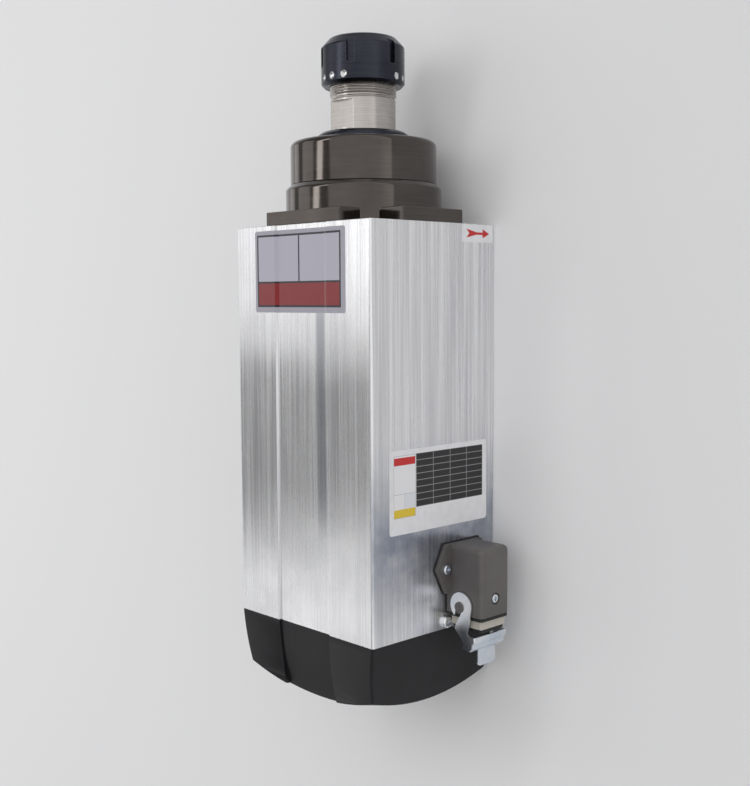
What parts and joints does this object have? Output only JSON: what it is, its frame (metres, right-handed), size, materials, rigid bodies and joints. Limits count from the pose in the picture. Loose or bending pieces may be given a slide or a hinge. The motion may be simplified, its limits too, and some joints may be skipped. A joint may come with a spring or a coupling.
{
  "type": "motor spindle",
  "caption": "Square air-cooled motor spindle with a collet nose, tapped mounting face, rear fan cover and latched plug housing.",
  "frame": {"origin": "mouth of the collet bore, on the spindle's axis, flush with the collet's front face", "axes": "+X along the spindle's axis from the nose to the rear cover, -Y out of the tapped mounting face, +Y out of the plug face, +Z out of the upper grooved face"},
  "size_m": [0.395, 0.148, 0.102],
  "materials": {
    "brushed_aluminium": "brushed along its length, clear anodised",
    "black_nickel": "turned steel with a glossy black nickel plating",
    "black_screw_steel": "black oxide",
    "black_oxide": "blue-black oxide with a light oil sheen",
    "ground_steel": "ground and turned bare steel",
    "collet_steel": "ground spring steel",
    "bearing_steel": "polished bearing steel",
    "cage_plastic": "brown moulded plastic",
    "core_steel": "stacked electrical steel sheet",
    "winding_copper": "varnished copper wire",
    "cast_aluminium": "die-cast",
    "fan_plastic": "moulded black plastic",
    "black_cover": "satin black moulded plastic",
    "zinc_plate": "bright zinc plating",
    "black_rubber": "black rubber",
    "grey_enamel": "warm dark grey powder coat on a zinc casting",
    "light_grey_plastic": "light grey moulded plastic",
    "contact_brass": "turned contact pins"
  },
  "bodies": {
    "motor_body": {"motor_casing": "brushed_aluminium", "front_end_shield": "black_nickel", "end_shield_screws": "black_screw_steel", "front_bearing_cap": "black_nickel", "bearing_cap_screws": "black_screw_steel", "front_bearing_outer_rings": "bearing_steel", "bearing_outer_spacer": "bearing_steel", "stator_core": "core_steel", "front_winding": "winding_copper", "rear_winding": "winding_copper", "rear_bearing_plate": "cast_aluminium", "rear_plate_screws": "black_screw_steel", "rear_bearing_outer_ring": "bearing_steel", "wave_spring": "bearing_steel", "fan_cover": "black_cover", "fan_cover_screws": "zinc_plate", "plug_gasket": "black_rubber", "plug_housing": "grey_enamel", "housing_screws": "zinc_plate", "plug_insert": "light_grey_plastic", "rim_seal": "black_rubber", "contact_carrier": "black_rubber", "plug_contacts": "contact_brass", "insert_screw": "zinc_plate", "latch_pegs": "zinc_plate", "earth_screw": "zinc_plate", "stator_lock_screws": "black_screw_steel"},
    "rotor": {"spindle_shaft": "ground_steel", "dust_ring": "black_oxide", "front_bearing_inner_rings": "bearing_steel", "bearing_inner_spacer": "bearing_steel", "bearing_lock_nut": "black_oxide", "rotor_core": "core_steel", "rotor_end_rings": "cast_aluminium", "rear_bearing_inner_ring": "bearing_steel", "cooling_fan": "fan_plastic", "fan_washer": "zinc_plate", "fan_screw": "zinc_plate"},
    "front_ball_sets": {"front_bearing_balls": "bearing_steel", "front_bearing_cages": "cage_plastic"},
    "rear_ball_set": {"rear_bearing_balls": "bearing_steel", "rear_bearing_cage": "cage_plastic"},
    "clamping_collet": {"collet": "collet_steel"},
    "clamping_nut": {"collet_nut": "black_oxide"},
    "latch": {"latch_lever": "zinc_plate"}
  },
  "joints": [
    {"name": "rotor_spin", "type": "hinge", "parent": "motor_body", "child": "rotor", "pos_m": [0, 0, 0], "axis": [-1, 0, 0], "continuous": true},
    {"name": "front_ball_spin", "type": "hinge", "parent": "motor_body", "child": "front_ball_sets", "pos_m": [0, 0, 0], "axis": [-1, 0, 0], "continuous": true},
    {"name": "rear_ball_spin", "type": "hinge", "parent": "motor_body", "child": "rear_ball_set", "pos_m": [0, 0, 0], "axis": [-1, 0, 0], "continuous": true},
    {"name": "collet_draw", "type": "slide", "parent": "rotor", "child": "clamping_collet", "axis": [-1, 0, 0], "range_m": [0, 0.003]},
    {"name": "nut_turn", "type": "hinge", "parent": "clamping_collet", "child": "clamping_nut", "pos_m": [0, 0, 0], "axis": [-1, 0, 0], "range_deg": [0, 720]},
    {"name": "latch_swing", "type": "hinge", "parent": "motor_body", "child": "latch", "pos_m": [0.3345, 0.0725, -0.0205], "axis": [0, 0, 1], "range_deg": [0, 90]}
  ],
  "couplings": [
    {"joint": "front_ball_spin", "follows": "rotor_spin", "ratio": 0.42},
    {"joint": "rear_ball_spin", "follows": "rotor_spin", "ratio": 0.4},
    {"joint": "collet_draw", "follows": "nut_turn", "m_per_rad": 0.00023873}
  ]
}
